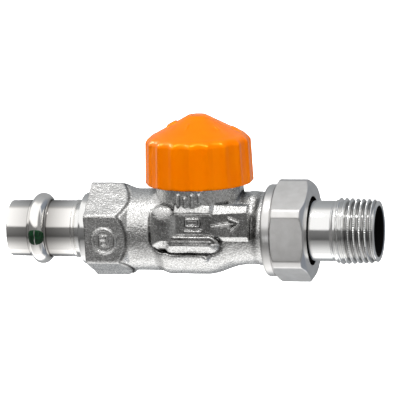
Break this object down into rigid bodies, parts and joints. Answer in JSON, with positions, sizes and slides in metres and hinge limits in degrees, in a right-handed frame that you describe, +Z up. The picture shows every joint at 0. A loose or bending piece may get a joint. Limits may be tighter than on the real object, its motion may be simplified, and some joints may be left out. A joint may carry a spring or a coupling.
{
  "type": "radiator valve",
  "caption": "Straight radiator valve body with press socket, cast hexagon body, screw-on protection cap over the stem, union nut and threaded tailpiece.",
  "frame": {"origin": "centre of the press socket's mouth, on the pipe axis", "axes": "+X along the pipe to the radiator thread, +Z up the valve stem, -Y to the front"},
  "size_m": [0.1213, 0.0344, 0.0542],
  "materials": {
    "cast_nickel": "nickel-plated casting, grainy satin",
    "polished_nickel": "nickel-plated, turned and polished",
    "satin_nickel": "nickel-plated, satin brushed",
    "polished_steel": "polished stainless steel",
    "steel_pin": "ground stainless steel",
    "plain_brass": "turned brass",
    "black_seal": "black EPDM rubber",
    "green_paint": "dark green paint dot",
    "dial_plastic": "white moulded plastic",
    "orange_cap": "orange moulded plastic, semi-gloss"
  },
  "bodies": {
    "body": {"valve_body": "cast_nickel", "press_adapter": "polished_nickel", "press_socket": "polished_steel", "press_oring": "black_seal", "press_marker": "green_paint", "bonnet_insert": "plain_brass", "insert_oring": "black_seal"},
    "preset": {"throttle_sleeve": "plain_brass", "sleeve_oring": "black_seal", "preset_dial": "dial_plastic", "gland_nut": "plain_brass", "gland_oring": "black_seal", "stem_oring": "black_seal"},
    "stem": {"stem": "steel_pin", "spring_plate": "steel_pin", "stem_clip": "steel_pin", "disc_holder": "plain_brass", "disc_seal": "black_seal", "disc_nut": "plain_brass", "return_spring": "steel_pin"},
    "cap": {"protection_cap": "orange_cap"},
    "tail": {"tailpiece": "polished_nickel", "union_oring": "black_seal"},
    "nut": {"union_nut": "satin_nickel"}
  },
  "joints": [
    {"name": "stem_travel", "type": "slide", "parent": "body", "child": "stem", "axis": [0, 0, 1], "range_m": [0, 0.002], "deforming": ["return_spring"]},
    {"name": "cap_turn", "type": "hinge", "parent": "stem", "child": "cap", "pos_m": [0.063, 0, 0.0156], "axis": [0, 0, 1], "range_deg": [0, 481]},
    {"name": "preset_turn", "type": "hinge", "parent": "body", "child": "preset", "pos_m": [0.063, 0, 0.021], "axis": [0, 0, 1], "range_deg": [-315, 0]},
    {"name": "tail_slide", "type": "slide", "parent": "body", "child": "tail", "axis": [1, 0, 0], "range_m": [0, 0.006]},
    {"name": "union_nut_turn", "type": "hinge", "parent": "tail", "child": "nut", "pos_m": [0.093, 0, 0], "axis": [1, 0, 0], "range_deg": [0, 1192]}
  ],
  "couplings": [
    {"joint": "cap_turn", "follows": "stem_travel", "rad_per_m": 4188.8},
    {"joint": "union_nut_turn", "follows": "tail_slide", "rad_per_m": 3463.7}
  ]
}
